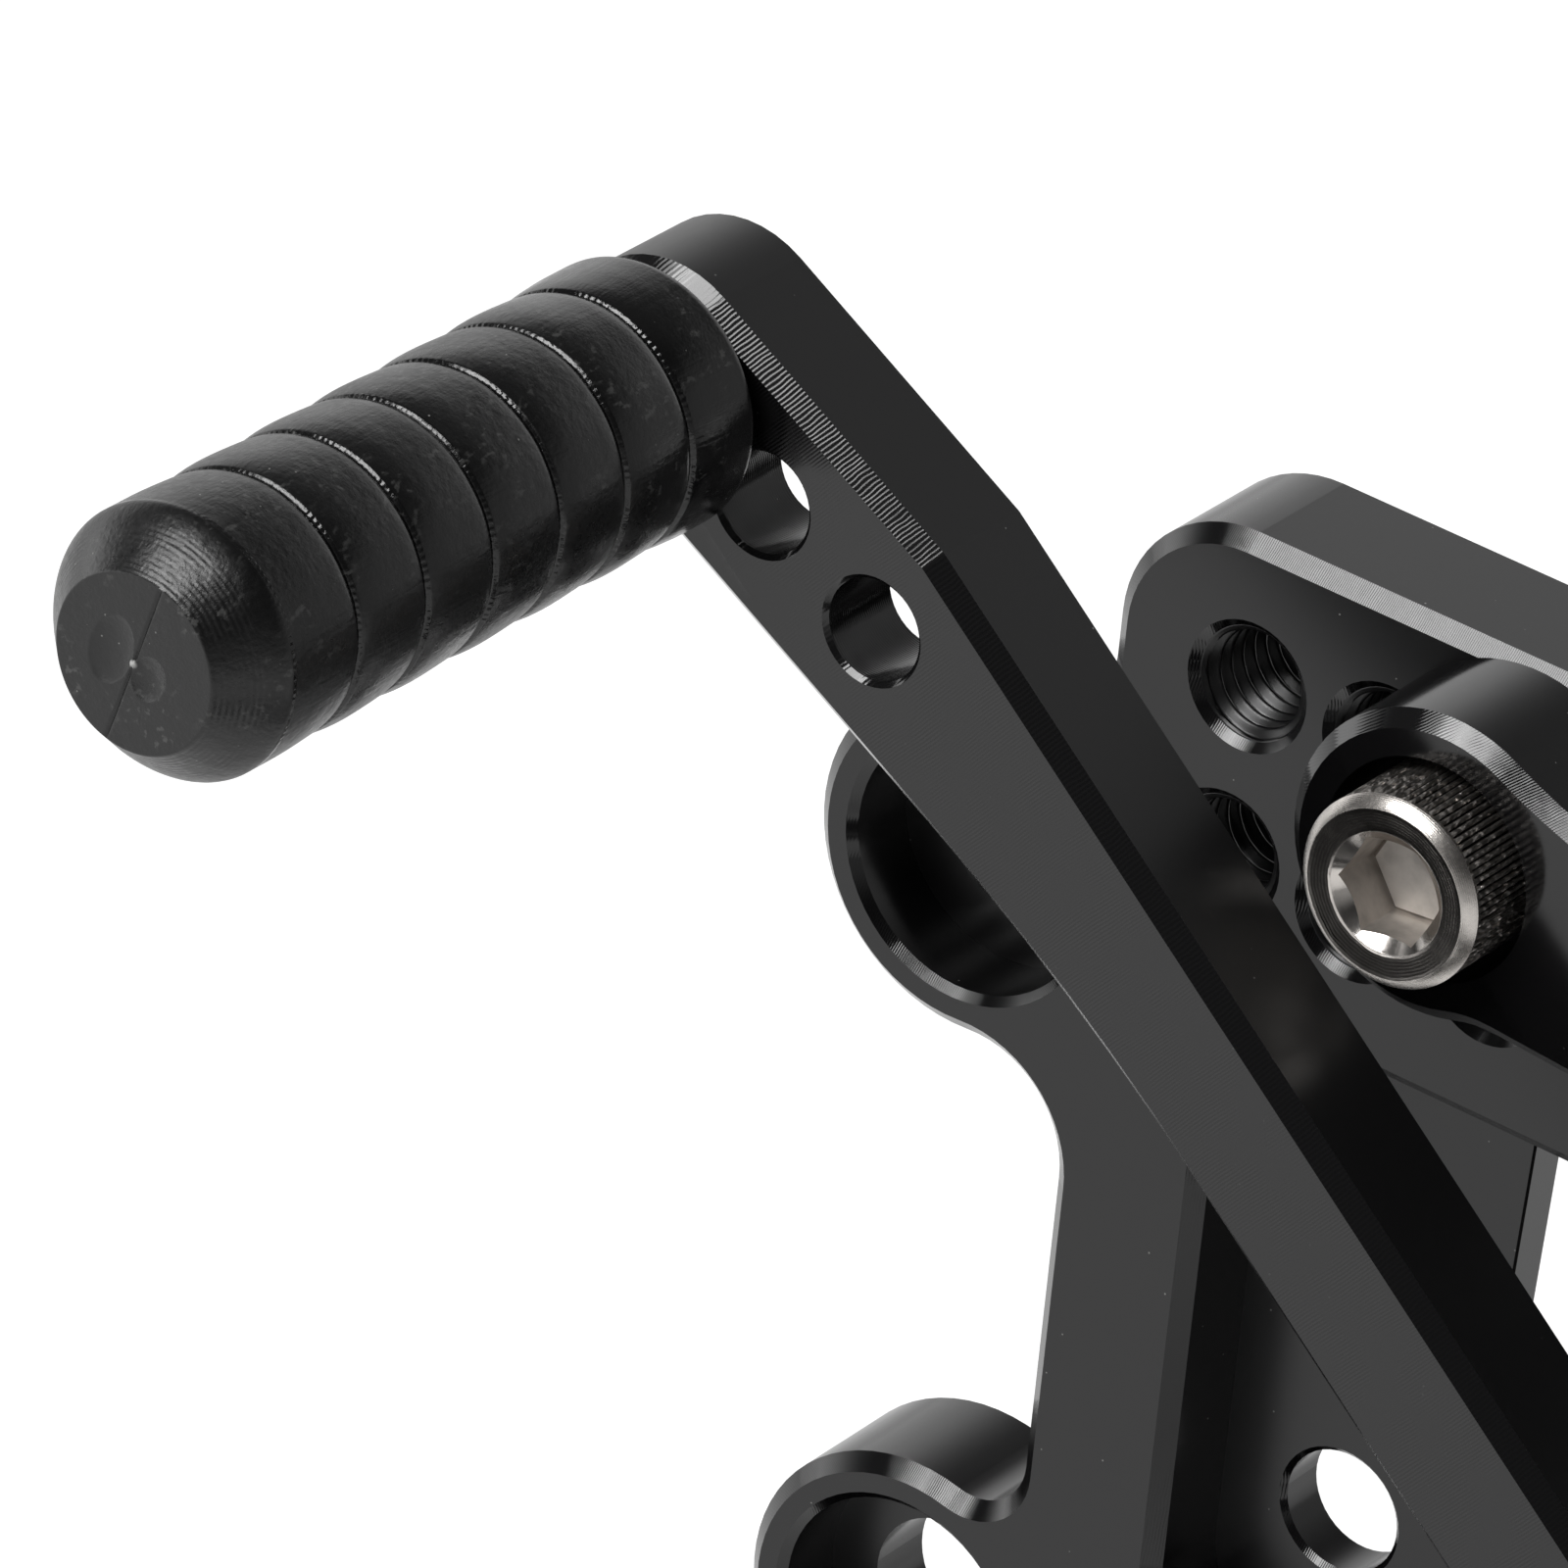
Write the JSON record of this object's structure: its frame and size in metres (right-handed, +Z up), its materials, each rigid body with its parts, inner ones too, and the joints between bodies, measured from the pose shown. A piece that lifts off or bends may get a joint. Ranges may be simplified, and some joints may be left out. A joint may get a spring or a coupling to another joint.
{
  "type": "motorcycle rear set footrest",
  "caption": "Left rear set for a motorcycle: pocketed frame plate, bolted peg carrier with a grooved foot peg, and a shift lever with a ringed toe peg on a ball-bearing pivot.",
  "frame": {"origin": "on the upper frame bolt's axis, in the base plate's mounting face", "axes": "+X towards the rear of the motorcycle, +Z up, -Y outward along the frame bolts and the foot peg"},
  "size_m": [0.1093, 0.1157, 0.1111],
  "materials": {
    "black_anodised": "black anodised, satin, with milled edges",
    "stainless": "bright stainless steel",
    "bearing_steel": "ground bearing steel",
    "black_moulded": "black moulded plastic with a soft sheen"
  },
  "bodies": {
    "plate": {"base_plate": "black_anodised", "peg_carrier": "black_anodised", "carrier_screw_front": "stainless", "carrier_screw_rear": "stainless", "pivot_bolt": "stainless", "lock_washer": "stainless", "pivot_sleeve": "stainless", "bearing_inner_race": "bearing_steel", "peg_washer": "stainless", "foot_peg": "black_anodised", "peg_end_cap": "black_moulded", "end_cap_screw": "stainless"},
    "lever": {"shift_lever": "black_anodised", "bearing_outer_race": "bearing_steel", "bearing_shields": "bearing_steel", "bearing_clip": "bearing_steel", "toe_peg": "black_moulded", "toe_peg_screw": "stainless"},
    "ball_set": {"bearing_balls": "bearing_steel", "bearing_cage": "bearing_steel"}
  },
  "joints": [
    {"name": "lever_pivot", "type": "hinge", "parent": "plate", "child": "lever", "pos_m": [0.07875, -0.0248, -0.0348], "axis": [0, -1, 0], "range_deg": [-12, 12]},
    {"name": "ball_set_turn", "type": "hinge", "parent": "plate", "child": "ball_set", "pos_m": [0.07875, -0.0248, -0.0348], "axis": [0, -1, 0], "range_deg": [-7, 7]}
  ],
  "couplings": [
    {"joint": "ball_set_turn", "follows": "lever_pivot", "ratio": 0.5727}
  ]
}
